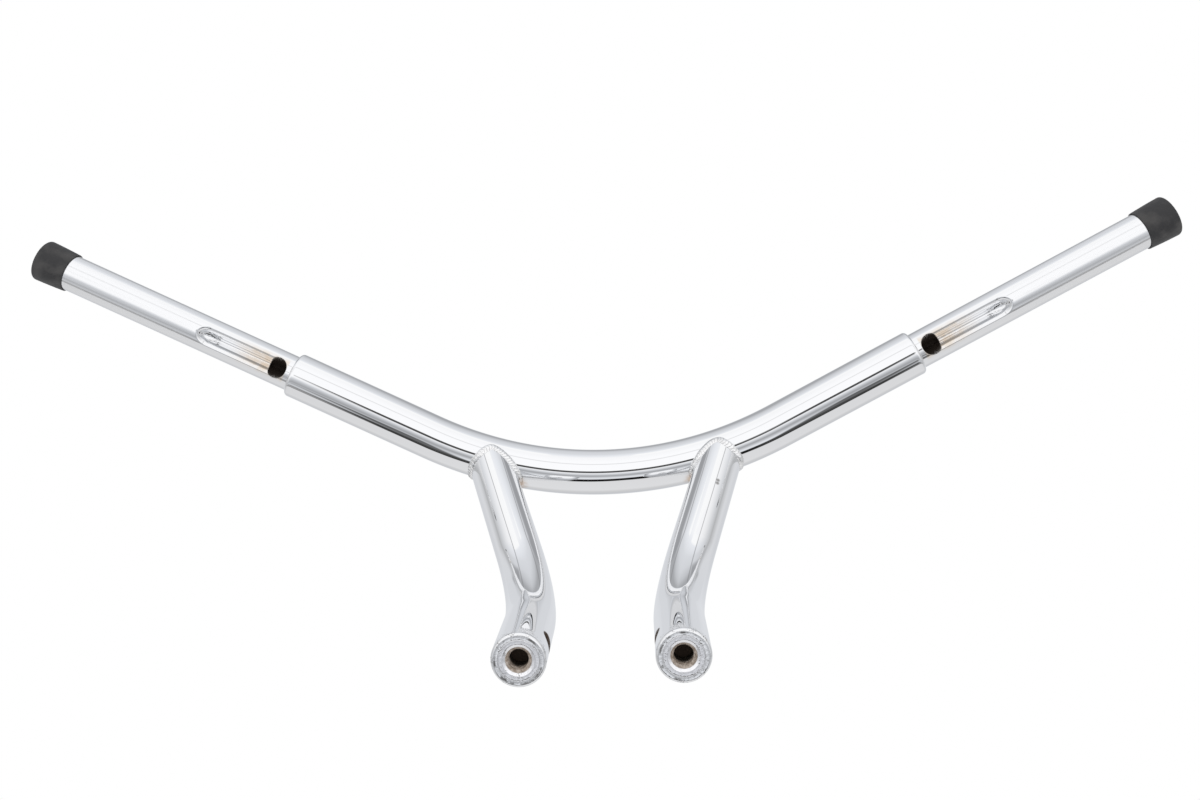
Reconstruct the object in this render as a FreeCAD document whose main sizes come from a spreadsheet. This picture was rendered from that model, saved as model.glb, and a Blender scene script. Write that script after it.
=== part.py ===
import FreeCAD, Part
import math
import os
import Sketcher

# A chromed steel handlebar: a thick centre tube bent in one wide arc, thinner grip tubes let into
# its ends, and two bent risers coped and welded under it, with threaded bungs in their feet.
# The frame is the one it has on the machine. The origin lies midway between the two feet, X points
# to the rider's right, Y forward and Z up. Lengths are in millimetres and angles in degrees.

SIZES = {
    # risers
    "foot_spacing": 88.9,
    "riser_od": 30.5,
    "riser_lower_run": 63.0,
    "riser_bend_radius": 111.0,
    "cope_trim": 2.0,
    "saw_slack": 0.3,
    "foot_edge": 0.8,
    # centre tube
    "bar_rise": 203.2,
    "bar_pull_back": 67.0,
    "bar_od": 31.75,
    "bar_bend_radius": 270.0,
    "bar_bend_half": 27.0,
    "bar_straight": 106.3,
    "arm_drop": 2.9,
    "meet_angle": 17.8,
    "shoulder_bevel": 2.2,
    # grip tubes and the wiring troughs pressed into them
    "grip_od": 25.4,
    "grip_wall": 3.2,
    "grip_insert": 38.0,
    "grip_reach": 187.5,
    "trough_turn": 10.0,
    "trough_from_step": 3.6,
    "trough_length": 63.0,
    "trough_radius": 6.6,
    "trough_depth": 8.0,
    "trough_wall": 1.8,
    "trough_hole": 12.5,
    "lip_bevel": 1.6,
    # holes where the wires come out of the risers
    "wire_exit": 9.5,
    "wire_exit_height": 21.5,
    # threaded bungs
    "bung_od": 23.0,
    "bung_length": 15.5,
    "thread_bore": 10.8,
    "mouth_bevel": 1.8,
    # weld beads at the riser tops
    "weld_leg": 3.6,
    "weld_crown": 1.1,
    "weld_seat": 0.06,
    # end caps
    "cap_mouth_od": 27.4,
    "cap_end_od": 29.2,
    "cap_cover": 19.0,
    "cap_floor": 3.0,
    "cap_mouth_bevel": 0.4,
    "cap_end_bevel": 1.4,
}

# Values that follow from the sizes above.
DERIVED = {
    # end of the bend and of the centre tube, in the plane of the bar
    "bend_out": "bar_bend_radius * sin(bar_bend_half)",
    "bend_back": "bar_bend_radius * (1 - cos(bar_bend_half))",
    "step_out": "bend_out + bar_straight * cos(bar_bend_half)",
    "step_back": "bend_back + bar_straight * sin(bar_bend_half)",
    # inner end of a grip tube, in the same plane
    "arm_out": "step_out - grip_insert * cos(bar_bend_half)",
    "arm_back": "step_back - grip_insert * sin(bar_bend_half)",
    # where a riser's axis meets the bar's, seen from the riser's foot
    "meet_back": "bar_bend_radius * (1 - cos(meet_angle))",
    "reach_out": "bar_bend_radius * sin(meet_angle) - foot_spacing / 2",
    "reach_back": "bar_pull_back + meet_back * cos(arm_drop)",
    "riser_reach": "sqrt(reach_out ^ 2 + reach_back ^ 2)",
    "riser_top": "bar_rise - meet_back * sin(arm_drop)",
    "riser_turn": "asin(reach_out / riser_reach) / 1 deg",
    # angle of the bend that joins the upright lower run to that meeting point
    "bend_slant": "sqrt((riser_reach - riser_bend_radius) ^ 2 + (riser_top - riser_lower_run) ^ 2)",
    "riser_bend": "(acos(-riser_bend_radius / bend_slant)"
    " - acos((riser_reach - riser_bend_radius) / bend_slant)) / 1 deg",
    # cosine of the angle between riser and bar, and the place on the bend where the riser's axis
    # comes out of the bar, along whose tangent the riser is notched
    "riser_lean": "sin(riser_bend) * sin(riser_turn + meet_angle)",
    "saw_shift": "bar_od / 2 * riser_lean / sqrt(1 - riser_lean ^ 2) / bar_bend_radius",
    "saw_angle": "meet_angle - saw_shift * 180 / pi",
    "saw_ring": "bar_bend_radius - saw_slack",
    "saw_od": "bar_od + 2 * saw_slack",
    # end of the riser's blank, a little short of the bar's axis
    "blank_reach": "riser_reach - cope_trim * sin(riser_bend)",
    "blank_top": "riser_top - cope_trim * cos(riser_bend)",
    # trough, along and across its grip tube
    "grip_bore": "grip_od - 2 * grip_wall",
    "grip_length": "grip_insert + grip_reach",
    "trough_axis": "grip_od / 2 - trough_depth + trough_radius",
    "trough_start": "grip_insert + trough_from_step + trough_radius",
    "trough_run": "trough_length - 2 * trough_radius",
    "floor_start": "grip_insert + trough_from_step + trough_hole",
    "floor_length": "trough_length - trough_hole + trough_wall",
    "liner_radius": "trough_radius + trough_wall",
    "liner_root": "grip_od / 2 - grip_wall / 2",
    # end cap
    "cap_start": "grip_length - cap_cover",
    "cap_length": "cap_cover + cap_floor",
    "cap_bore_radius": "grip_od / 2",
    "cap_mouth_radius": "cap_mouth_od / 2",
    "cap_end_radius": "cap_end_od / 2",
}

SIDES = {"left": -1, "right": 1}
Vector = FreeCAD.Vector
doc = FreeCAD.newDocument("handlebar")


def make_sheet():
    """The sheet of driving sizes and of what follows from them."""
    sheet = doc.addObject("Spreadsheet::Sheet", "sizes")
    for row, (alias, number) in enumerate(SIZES.items(), 1):
        sheet.set(f"A{row}", str(number))
        sheet.setAlias(f"A{row}", alias)
    for row, (alias, formula) in enumerate(DERIVED.items(), 1):
        sheet.set(f"B{row}", "=" + formula)
        sheet.setAlias(f"B{row}", alias)
    doc.recompute()
    return sheet


sizes = make_sheet()


def size(alias):
    """A value of the sheet as a plain number."""
    return float(sizes.get(alias))


def bind(thing, **properties):
    """Ties properties of an object to the sheet."""
    for name, formula in properties.items():
        thing.setExpression(name, formula)


def placed(x="0", y="0", z="0", about="z", angle="0"):
    """An expression for a shift followed by a turn about one of the shifted axes."""
    axis = {"x": "1; 0; 0", "y": "0; 1; 0", "z": "0; 0; 1"}[about]
    return (
        f"create(<<placement>>; create(<<vector>>; {x}; {y}; {z});"
        f" create(<<rotation>>; create(<<vector>>; {axis}); {angle}))"
    )


def new_body(name):
    return doc.addObject("PartDesign::Body", name)


def new_sketch(body, name, role):
    """A sketch on one of the body's own origin planes."""
    sketch = body.newObject("Sketcher::SketchObject", name)
    plane = next(f for f in body.Origin.OriginFeatures if f.Role == role)
    sketch.AttachmentSupport = [(plane, "")]
    sketch.MapMode = "FlatFace"
    return sketch


def hold(sketch, kind, *references, to=None):
    """A constraint, tied to a value of the sheet where it has a size."""
    if to is None:
        sketch.addConstraint(Sketcher.Constraint(kind, *references))
        return
    index = sketch.addConstraint(Sketcher.Constraint(kind, *references, size(to)))
    sketch.setExpression(f"Constraints[{index}]", f"sizes.{to}")


def circles(body, name, role, *diameters):
    """A sketch of circles about the plane's origin."""
    sketch = new_sketch(body, name, role)
    for alias in diameters:
        index = sketch.addGeometry(Part.Circle(Vector(), Vector(0, 0, 1), size(alias) / 2))
        hold(sketch, "Coincident", index, 3, -1, 1)
        hold(sketch, "Diameter", index, to=alias)
    return sketch


def arc(centre, radius, start, end):
    """An arc run counter-clockwise from one angle to another, in degrees."""
    circle = Part.Circle(centre, Vector(0, 0, 1), radius)
    return Part.ArcOfCircle(circle, math.radians(start), math.radians(end))


def rings_of(shape, diameter, test):
    """Names of the full circular edges of one diameter whose centre passes a test."""
    names = []
    for index, edge in enumerate(shape.Edges, 1):
        curve = edge.Curve
        if isinstance(curve, Part.Circle) and abs(2 * curve.Radius - diameter) < 1e-4 and test(curve.Center):
            names.append(f"Edge{index}")
    return names


def finish_edges(body, kind, name, edges, **properties):
    """A fillet or chamfer on named edges of the body's last feature."""
    base = body.Tip
    feature = body.newObject(f"PartDesign::{kind}", name)
    feature.Base = (base, edges)
    bind(feature, **properties)
    doc.recompute()
    return feature


def tube_body(name, path, profile_role, *diameters):
    """A body of bent tube: a ring swept along an axis that the given function draws."""
    body = new_body(name)
    spine = path(body, f"{name}_axis")
    section = circles(body, f"{name}_section", profile_role, *diameters)
    pipe = body.newObject("PartDesign::AdditivePipe", f"{name}_sweep")
    pipe.Profile = section
    pipe.Spine = (spine, [f"Edge{index + 1}" for index in range(spine.GeometryCount)])
    doc.recompute()
    return body


# Frames that several pieces share, as expressions.
BAR_FRAME = placed(y="-sizes.bar_pull_back", z="sizes.bar_rise", about="x", angle="sizes.arm_drop")


def riser_frame(side):
    """At a foot, with local X turned towards the point where the riser meets the bar."""
    return placed(x=f"{side} * sizes.foot_spacing / 2", angle=f"{side} * sizes.riser_turn - 90")


def arm_frame(side):
    """At the inner end of a grip tube, with local X out along it."""
    heading = "-sizes.bar_bend_half" if side > 0 else "180 + sizes.bar_bend_half"
    start = placed(x=f"{side} * sizes.arm_out", y="-sizes.arm_back", angle=heading)
    return f"{BAR_FRAME} * {start}"


def cylinder(name, diameter, height, frame):
    """A plain cylinder along local Z of a frame, used as a tool."""
    tool = doc.addObject("Part::Cylinder", name)
    bind(tool, Radius=f"sizes.{diameter} / 2", Height=height, Placement=frame)
    return tool


def cut(name, base, *tools):
    """Base less one tool after another. The last cut carries the name."""
    for index, tool in enumerate(tools, 1):
        result = doc.addObject("Part::Cut", name if index == len(tools) else f"{name}_step")
        result.Base = base
        result.Tool = tool
        base = result
    doc.recompute()
    return base


def bar_path(body, name):
    """Right half of the bar's axis: half of the wide arc and the straight run up to the step."""
    sketch = new_sketch(body, name, "XY_Plane")
    radius = size("bar_bend_radius")
    half = size("bar_bend_half")
    bend_end = Vector(size("bend_out"), -size("bend_back"), 0)
    step = Vector(size("step_out"), -size("step_back"), 0)
    bend = sketch.addGeometry(arc(Vector(0, -radius, 0), radius, 90 - half, 90))
    run = sketch.addGeometry(Part.LineSegment(bend_end, step))
    hold(sketch, "Coincident", bend, 2, -1, 1)
    hold(sketch, "PointOnObject", bend, 3, -2)
    hold(sketch, "Radius", bend, to="bar_bend_radius")
    hold(sketch, "Tangent", bend, 1, run, 1)
    hold(sketch, "DistanceX", -1, 1, run, 2, to="step_out")
    hold(sketch, "DistanceY", run, 2, -1, 1, to="step_back")
    return sketch


def riser_path(body, name):
    """A riser's axis: upright from the foot, one bend, then straight towards the bar."""
    sketch = new_sketch(body, name, "XZ_Plane")
    radius = size("riser_bend_radius")
    lower = size("riser_lower_run")
    turn = size("riser_bend")
    centre = Vector(radius, lower, 0)
    bend_end = centre + radius * Vector(-math.cos(math.radians(turn)), math.sin(math.radians(turn)), 0)
    blank_end = Vector(size("blank_reach"), size("blank_top"), 0)
    upright = sketch.addGeometry(Part.LineSegment(Vector(), Vector(0, lower, 0)))
    bend = sketch.addGeometry(arc(centre, radius, 180 - turn, 180))
    upper = sketch.addGeometry(Part.LineSegment(bend_end, blank_end))
    hold(sketch, "Coincident", upright, 1, -1, 1)
    hold(sketch, "Vertical", upright)
    hold(sketch, "DistanceY", upright, 1, upright, 2, to="riser_lower_run")
    hold(sketch, "Tangent", upright, 2, bend, 2)
    hold(sketch, "Radius", bend, to="riser_bend_radius")
    hold(sketch, "Tangent", bend, 1, upper, 1)
    hold(sketch, "DistanceX", -1, 1, upper, 2, to="blank_reach")
    hold(sketch, "DistanceY", -1, 1, upper, 2, to="blank_top")
    return sketch


def make_centre_tube():
    """The bent centre tube with bevelled shoulders. Its bore takes the grip tubes."""
    body = tube_body("centre_tube", bar_path, "YZ_Plane", "bar_od", "grip_od")
    mirrored = body.newObject("PartDesign::Mirrored", "centre_both_halves")
    mirrored.TransformMode = "Whole shape"
    plane = next(f for f in body.Origin.OriginFeatures if f.Role == "YZ_Plane")
    mirrored.MirrorPlane = (plane, [""])
    body.Tip = mirrored
    doc.recompute()
    ends = rings_of(mirrored.Shape, size("bar_od"), lambda c: abs(c.x) > size("bend_out") + 1)
    finish_edges(body, "Chamfer", "centre_shoulders", ends, Size="sizes.shoulder_bevel")
    bind(body, Placement=BAR_FRAME)


def make_riser(side_name, side):
    """A bent riser tube, notched to the bar with a straight saw and drilled for the wires."""
    body = tube_body(f"{side_name}_riser_blank", riser_path, "XY_Plane", "riser_od", "bung_od")
    outer = rings_of(body.Shape, size("riser_od"), lambda c: c.z < 1e-4)
    finish_edges(body, "Chamfer", f"{side_name}_foot_edge", outer, Size="sizes.foot_edge")
    bind(body, Placement=riser_frame(side))
    along_bar = placed(
        x=f"{side} * sizes.saw_ring * sin(sizes.saw_angle)",
        y="sizes.saw_ring * cos(sizes.saw_angle) - sizes.bar_bend_radius",
        angle=f"{-side} * sizes.saw_angle",
    )
    lengthwise = placed(x="-2 * sizes.riser_od", about="y", angle="90")
    saw = cylinder(f"{side_name}_saw", "saw_od", "4 * sizes.riser_od", f"{BAR_FRAME} * {along_bar} * {lengthwise}")
    inward = placed(
        x=f"{side} * sizes.foot_spacing / 2", z="sizes.wire_exit_height", about="y", angle=f"{-side} * 90"
    )
    drill = cylinder(f"{side_name}_wire_drill", "wire_exit", "sizes.riser_od", inward)
    return cut(f"{side_name}_riser", body, saw, drill)


def make_bung(side_name, side):
    """A turned bung, flush with the foot, with a bevelled mouth."""
    body = new_body(f"{side_name}_bung")
    section = circles(body, f"{side_name}_bung_section", "XY_Plane", "bung_od", "thread_bore")
    pad = body.newObject("PartDesign::Pad", f"{side_name}_bung_pad")
    pad.Profile = section
    bind(pad, Length="sizes.bung_length")
    doc.recompute()
    mouth = rings_of(body.Shape, size("thread_bore"), lambda c: c.z < 1e-4)
    finish_edges(body, "Chamfer", f"{side_name}_bung_mouth", mouth, Size="sizes.mouth_bevel")
    bind(body, Placement=riser_frame(side))
    return body


def revolve(body, name, role, axis, corners):
    """A closed outline turned full circle about an axis of its sketch.

    Each corner is a pair of sheet values, along and across, with 0 for a point on an axis.
    """
    sketch = new_sketch(body, f"{name}_outline", role)
    at = [Vector(*(size(c) if c else 0.0 for c in corner), 0) for corner in corners]
    count = len(at)
    for index in range(count):
        sketch.addGeometry(Part.LineSegment(at[index], at[(index + 1) % count]))
    for index, (along, across) in enumerate(corners):
        hold(sketch, "Coincident", index - 1 if index else count - 1, 2, index, 1)
        if along:
            hold(sketch, "DistanceX", -1, 1, index, 1, to=along)
        else:
            hold(sketch, "PointOnObject", index, 1, -2)
        if across:
            hold(sketch, "DistanceY", -1, 1, index, 1, to=across)
        else:
            hold(sketch, "PointOnObject", index, 1, -1)
    feature = body.newObject("PartDesign::Revolution", name)
    feature.Profile = sketch
    feature.ReferenceAxis = (sketch, [axis])
    feature.Angle = 360
    doc.recompute()
    return feature


def weld_sections(side):
    """Cross-sections of a weld bead, one after another round the line where riser and bar meet.

    They are worked out in the frame at the riser's top, whose Z runs down the riser's axis. A section has
    a leg on each tube, lifted clear by the seat, and a crowned face between the ends of the legs.
    """
    stations = 30
    riser_radius = size("riser_od") / 2
    bar_radius = size("bar_od") / 2
    bend_radius = size("bar_bend_radius")
    bar_bend = Vector(0, -bend_radius, 0)
    down = Vector(0, 0, 1)
    top = FreeCAD.Placement(
        Vector(size("riser_reach"), 0, size("riser_top")),
        FreeCAD.Rotation(Vector(0, 1, 0), 180 + size("riser_bend")),
    )
    foot = FreeCAD.Placement(
        Vector(side * size("foot_spacing") / 2, 0, 0),
        FreeCAD.Rotation(down, side * size("riser_turn") - 90),
    )
    bar = FreeCAD.Placement(
        Vector(0, -size("bar_pull_back"), size("bar_rise")),
        FreeCAD.Rotation(Vector(1, 0, 0), size("arm_drop")),
    )
    to_bar = bar.inverse() * foot * top

    def riser_axis(point):
        return Vector(0, 0, point.z)

    def bar_axis(point):
        inside = to_bar * point - bar_bend
        inside.z = 0
        return to_bar.inverse() * (bar_bend + inside.normalize() * bend_radius)

    def seated(point, axis, radius):
        outward = point - axis(point)
        return axis(point) + outward.normalize() * (radius + size("weld_seat"))

    def corner(across):
        """The point where one straight line of the riser's outside comes out of the bar."""
        near = 0.0
        far = 2 * size("bar_od")
        while far - near > 1e-7:
            middle = (near + far) / 2
            point = across + down * middle
            if (point - bar_axis(point)).Length < bar_radius:
                near = middle
            else:
                far = middle
        return across + down * far

    sections = []
    for station in range(stations):
        angle = 2 * math.pi * station / stations
        off_riser = Vector(math.cos(angle), math.sin(angle), 0)
        root = corner(off_riser * riser_radius)
        off_bar = (root - bar_axis(root)).normalize()
        heading = off_riser.cross(off_bar).normalize()
        down_riser = heading.cross(off_riser)
        down_riser *= math.copysign(1, down_riser.dot(off_bar))
        along_bar = heading.cross(off_bar)
        along_bar *= math.copysign(1, along_bar.dot(off_riser))
        outward = (off_riser + off_bar).normalize()
        leg = size("weld_leg")
        riser_leg = [seated(root + down_riser * leg * f, riser_axis, riser_radius) for f in (0.5, 1)]
        bar_leg = [seated(root + along_bar * leg * f, bar_axis, bar_radius) for f in (1, 0.5)]
        face = [
            riser_leg[1] * (1 - f) + bar_leg[0] * f + outward * size("weld_crown") * 4 * f * (1 - f)
            for f in (0.3, 0.7)
        ]
        outline = [root + outward * size("weld_seat")] + riser_leg + face + bar_leg
        outline.append(outline[0])
        sections.append(Part.makePolygon([foot * top * point for point in outline]))
    return sections


def make_riser_weld(side_name, side):
    """The bead that joins a riser to the bar, lofted in a closed ring."""
    bead = doc.addObject("Part::Feature", f"{side_name}_bead")
    bead.Shape = Part.makeLoft(weld_sections(side), True, True, True)
    return bead


def trough_liner(body, name):
    """The trough's wall inside the tube, from the edge of the wire hole to past its closed end."""
    sketch = new_sketch(body, f"{name}_liner_section", "YZ_Plane")
    sketch.setExpression("AttachmentOffset.Base.z", "sizes.floor_start")
    root = size("liner_root")
    inner = size("liner_radius")
    depth = size("trough_axis")
    drop = (root**2 - inner**2 + depth**2) / (2 * depth)
    half = math.degrees(math.acos(drop / root))
    rise = math.degrees(math.acos((depth - drop) / inner))
    outer = sketch.addGeometry(arc(Vector(), root, 270 - half, 270 + half))
    floor = sketch.addGeometry(arc(Vector(0, -depth, 0), inner, 90 - rise, 90 + rise))
    hold(sketch, "Coincident", outer, 3, -1, 1)
    hold(sketch, "Radius", outer, to="liner_root")
    hold(sketch, "PointOnObject", floor, 3, -2)
    hold(sketch, "DistanceY", floor, 3, -1, 1, to="trough_axis")
    hold(sketch, "Radius", floor, to="liner_radius")
    hold(sketch, "Coincident", outer, 2, floor, 1)
    hold(sketch, "Coincident", floor, 2, outer, 1)
    pad = body.newObject("PartDesign::Pad", f"{name}_liner")
    pad.Profile = sketch
    bind(pad, Length="sizes.floor_length")
    doc.recompute()


def trough_recess(body, name):
    """The round-ended hollow: a half outline turned about the trough's own axis."""
    sketch = new_sketch(body, f"{name}_recess_outline", "XZ_Plane")
    sketch.setExpression("AttachmentOffset.Base.y", "-sizes.trough_axis")
    radius = size("trough_radius")
    start = size("trough_start")
    end = start + size("trough_run")
    inner = sketch.addGeometry(arc(Vector(start, 0, 0), radius, 90, 180))
    top = sketch.addGeometry(Part.LineSegment(Vector(start, radius, 0), Vector(end, radius, 0)))
    outer = sketch.addGeometry(arc(Vector(end, 0, 0), radius, 0, 90))
    axis = sketch.addGeometry(Part.LineSegment(Vector(end + radius, 0, 0), Vector(start - radius, 0, 0)))
    hold(sketch, "Tangent", inner, 1, top, 1)
    hold(sketch, "Tangent", top, 2, outer, 2)
    hold(sketch, "Coincident", outer, 1, axis, 1)
    hold(sketch, "Coincident", axis, 2, inner, 2)
    hold(sketch, "PointOnObject", inner, 3, -1)
    hold(sketch, "PointOnObject", outer, 3, -1)
    hold(sketch, "PointOnObject", axis, 1, -1)
    hold(sketch, "PointOnObject", axis, 2, -1)
    hold(sketch, "Radius", inner, to="trough_radius")
    hold(sketch, "DistanceX", -1, 1, inner, 3, to="trough_start")
    hold(sketch, "DistanceX", inner, 3, outer, 3, to="trough_run")
    groove = body.newObject("PartDesign::Groove", f"{name}_recess")
    groove.Profile = sketch
    groove.ReferenceAxis = (sketch, ["H_Axis"])
    groove.Angle = 360
    doc.recompute()


def lip_edges(shape, radius):
    """Edges of the recess that lie on the tube's outside, between its two ends."""
    names = []
    for index, edge in enumerate(shape.Edges, 1):
        if edge.Degenerated:
            continue
        points = edge.discretize(5)
        on_wall = all(abs(math.hypot(p.y, p.z) - radius) < 1e-3 for p in points)
        ends = {round(p.x, 3) for p in points}
        below = all(p.z < 0 for p in points)
        if on_wall and below and 0.0 < min(ends) and max(ends) < size("grip_length"):
            names.append(f"Edge{index}")
    return names


def make_grip_tube(side_name, side):
    """A straight tube let into the bar's end, with its wiring trough turned a little to the rear."""
    name = f"{side_name}_grip"
    body = new_body(name)
    section = circles(body, f"{name}_section", "YZ_Plane", "grip_od", "grip_bore")
    pad = body.newObject("PartDesign::Pad", f"{name}_pad")
    pad.Profile = section
    bind(pad, Length="sizes.grip_length")
    doc.recompute()
    trough_liner(body, name)
    trough_recess(body, name)
    lips = lip_edges(body.Shape, size("grip_od") / 2)
    finish_edges(body, "Chamfer", f"{name}_lips", lips, Size="sizes.lip_bevel")
    roll = placed(about="x", angle=f"{-side} * sizes.trough_turn")
    bind(body, Placement=f"{arm_frame(side)} * {roll}")
    return body


def make_end_cap(side_name, side):
    """A push-on cap, a little wider at its closed end, that bottoms on the end of the grip tube."""
    body = new_body(f"{side_name}_cap")
    corners = [
        (0, "cap_bore_radius"),
        (0, "cap_mouth_radius"),
        ("cap_length", "cap_end_radius"),
        ("cap_length", 0),
        ("cap_cover", 0),
        ("cap_cover", "cap_bore_radius"),
    ]
    revolve(body, f"{side_name}_cap_turned", "XZ_Plane", "H_Axis", corners)
    end = rings_of(body.Shape, size("cap_end_od"), lambda c: c.x > 1e-4)
    finish_edges(body, "Chamfer", f"{side_name}_cap_end_edge", end, Size="sizes.cap_end_bevel")
    mouth = rings_of(body.Shape, size("cap_mouth_od"), lambda c: abs(c.x) < 1e-4)
    finish_edges(body, "Chamfer", f"{side_name}_cap_mouth_edge", mouth, Size="sizes.cap_mouth_bevel")
    bind(body, Placement=f"{arm_frame(side)} * {placed(x='sizes.cap_start')}")
    return body


def make_all():
    """Every piece of the bar. Gives the names of the nodes and how many solids each of them holds."""
    make_centre_tube()
    nodes = {"centre_tube": 1}
    pairs = {
        "riser_tubes": make_riser,
        "riser_welds": make_riser_weld,
        "threaded_bungs": make_bung,
        "grip_tubes": make_grip_tube,
        "end_caps": make_end_cap,
    }
    for name, make in pairs.items():
        pair = doc.addObject("Part::Compound", name)
        pair.Links = [make(*side) for side in SIDES.items()]
        nodes[name] = len(SIDES)
    return nodes


def write(nodes):
    """Checks every object and writes one file for each node."""
    doc.recompute()
    for thing in doc.Objects:
        if "Invalid" in thing.State or "Error" in thing.State:
            raise RuntimeError(f"{thing.Name} did not compute: {thing.State}")
    os.makedirs("parts", exist_ok=True)
    for name, count in nodes.items():
        piece = doc.getObject(name)
        piece.Label = name
        shape = piece.Shape
        if shape.isNull() or not shape.isValid() or len(shape.Solids) != count:
            raise RuntimeError(f"{name} is not sound, or is not {count} solids")
        shape.exportStep(f"parts/{name}.step")


write(make_all())
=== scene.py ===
import math

import bpy
import numpy as np
from mathutils import Matrix, Vector


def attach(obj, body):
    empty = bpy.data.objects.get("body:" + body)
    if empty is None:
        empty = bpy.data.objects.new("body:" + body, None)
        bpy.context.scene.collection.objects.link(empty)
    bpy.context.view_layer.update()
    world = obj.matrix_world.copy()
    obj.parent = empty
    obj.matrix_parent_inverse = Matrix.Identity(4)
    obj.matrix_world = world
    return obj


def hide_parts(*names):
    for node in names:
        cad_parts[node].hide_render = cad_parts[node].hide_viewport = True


# The looks of a chromed handlebar: bent tubes, rippled weld beads, pressed wiring troughs, threaded
# feet and rubber caps. Lengths are in metres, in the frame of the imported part: X to the rider's right,
# Y forward, Z up. The photograph looks up at the bar from below.

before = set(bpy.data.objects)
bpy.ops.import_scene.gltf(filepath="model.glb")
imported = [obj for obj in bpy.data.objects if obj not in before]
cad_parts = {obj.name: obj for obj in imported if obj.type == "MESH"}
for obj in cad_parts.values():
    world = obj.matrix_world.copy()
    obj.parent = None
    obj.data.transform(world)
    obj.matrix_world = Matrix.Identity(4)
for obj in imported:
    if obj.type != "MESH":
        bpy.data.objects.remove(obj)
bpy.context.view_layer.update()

BAR_RADIUS = 0.015875
GRIP_RADIUS = 0.0127
RISER_RADIUS = 0.01525
BAR_RISE = 0.2032
PULL_BACK = 0.067
BEND_RADIUS = 0.270
BEND_HALF = math.radians(27.0)
BAR_STRAIGHT = 0.1063
ARM_DROP = math.radians(2.9)
MEET_ANGLE = math.radians(17.8)
FOOT_X = 0.04445
LOWER_RUN = 0.063
RISER_BEND_RADIUS = 0.111
GRIP_REACH = 0.1875
CAP_COVER = 0.019
CAP_FLOOR = 0.003
TROUGH_TURN = math.radians(10.0)
FOOT_BORE = 0.0114
FOOT_PLUG = 0.018
SLOT_HEIGHT = 0.0215
SLOT_HALF_WIDTH = 0.0045
WIRE_HOLE_EDGE = 0.0158
INSIDE_BOX = 1e-5
STEP = BEND_RADIUS * BEND_HALF + BAR_STRAIGHT
SIDES = {"left": -1.0, "right": 1.0}


def normalised(vectors):
    """Each vector divided by its length."""
    return vectors / np.linalg.norm(vectors, axis=-1, keepdims=True)


def smooth_step(low, high, value):
    """The cubic 3t2 - 2t3, rising from 0 at low to 1 at high."""
    t = np.clip((value - low) / (high - low), 0.0, 1.0)
    return t * t * (3.0 - 2.0 * t)


def hash_wave(value, seed):
    """A sum of sines of unrelated frequency, used as an uneven but repeatable wobble from -1 to 1."""
    return (
        np.sin(value * 1.0 + seed)
        + 0.6 * np.sin(value * 2.37 + seed * 1.7)
        + 0.4 * np.sin(value * 5.13 + seed * 0.6)
    ) / 2.0


def shell(name, grid, loop=False, start=None, end=None, masks=None):
    """A closed mesh from a grid of points whose second index runs round the piece.

    The rows are joined into quads. With loop the last row joins the first, otherwise each end row is
    closed by a fan to the point given for it. Masks are values for each grid point, and the point that
    closes an end takes the value of that end's row.
    """
    rows, columns = grid.shape[:2]
    points = grid.reshape(-1, 3)
    index = np.arange(rows * columns).reshape(rows, columns)
    upper = np.roll(index, -1, axis=0) if loop else index[1:]
    lower = index if loop else index[:-1]
    quads = np.stack([lower, np.roll(lower, -1, 1), np.roll(upper, -1, 1), upper], axis=-1).reshape(-1, 4)
    triangles = np.zeros((0, 3), int)
    if not loop:
        points = np.vstack([points, start, end])
        apex = np.full(columns, rows * columns)
        first = np.stack([np.roll(index[0], -1), index[0], apex], axis=-1)
        last = np.stack([apex + 1, index[-1], np.roll(index[-1], -1)], axis=-1)
        triangles = np.vstack([first, last])
    split = np.vstack([quads[:, [0, 1, 2]], quads[:, [0, 2, 3]], triangles])
    a, b, c = (points[split[:, k]] for k in range(3))
    if np.einsum("ij,ij->i", a, np.cross(b, c)).sum() < 0:
        quads = quads[:, ::-1]
        triangles = triangles[:, ::-1]
    mesh = bpy.data.meshes.new(name)
    mesh.from_pydata(points.tolist(), [], quads.tolist() + triangles.tolist())
    mesh.polygons.foreach_set("use_smooth", np.ones(len(mesh.polygons), bool))
    for mask, values in (masks or {}).items():
        full = np.broadcast_to(values, (rows, columns)).ravel().astype(np.float32)
        if not loop:
            full = np.append(full, full[[0, -1]])
        mesh.attributes.new(mask, "FLOAT", "POINT").data.foreach_set("value", full)
    mesh.update()
    piece = bpy.data.objects.new(name, mesh)
    bpy.context.scene.collection.objects.link(piece)
    return piece


def bar_to_row(points):
    """Points of the bar's own plane, turned about X by the arms' drop and lifted to their place."""
    cos, sin = math.cos(ARM_DROP), math.sin(ARM_DROP)
    x, y, z = np.moveaxis(points, -1, 0)
    return np.stack([x, y * cos - z * sin - PULL_BACK, y * sin + z * cos + BAR_RISE], axis=-1)


def bar_line(along):
    """The bar's axis at a signed length from its middle: an arc of 27 degrees each way, then straight.

    Gives the point, the direction along the bar, the direction to its front and the one to its top.
    """
    side = np.where(along < 0, -1.0, 1.0)
    length = np.abs(along)
    angle = np.minimum(length / BEND_RADIUS, BEND_HALF)
    extra = np.maximum(length - BEND_RADIUS * BEND_HALF, 0.0)
    nothing = np.zeros_like(angle)
    cos, sin = np.cos(angle), np.sin(angle)
    point = np.stack(
        [side * (BEND_RADIUS * sin + extra * cos), -BEND_RADIUS * (1 - cos) - extra * sin, nothing], axis=-1
    )
    along_bar = np.stack([cos, -side * sin, nothing], axis=-1)
    front = np.stack([side * sin, cos, nothing], axis=-1)
    top = np.stack([nothing, nothing, nothing + 1.0], axis=-1)
    origin = bar_to_row(np.zeros(3))
    return (bar_to_row(point), *(bar_to_row(d) - origin for d in (along_bar, front, top)))


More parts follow.
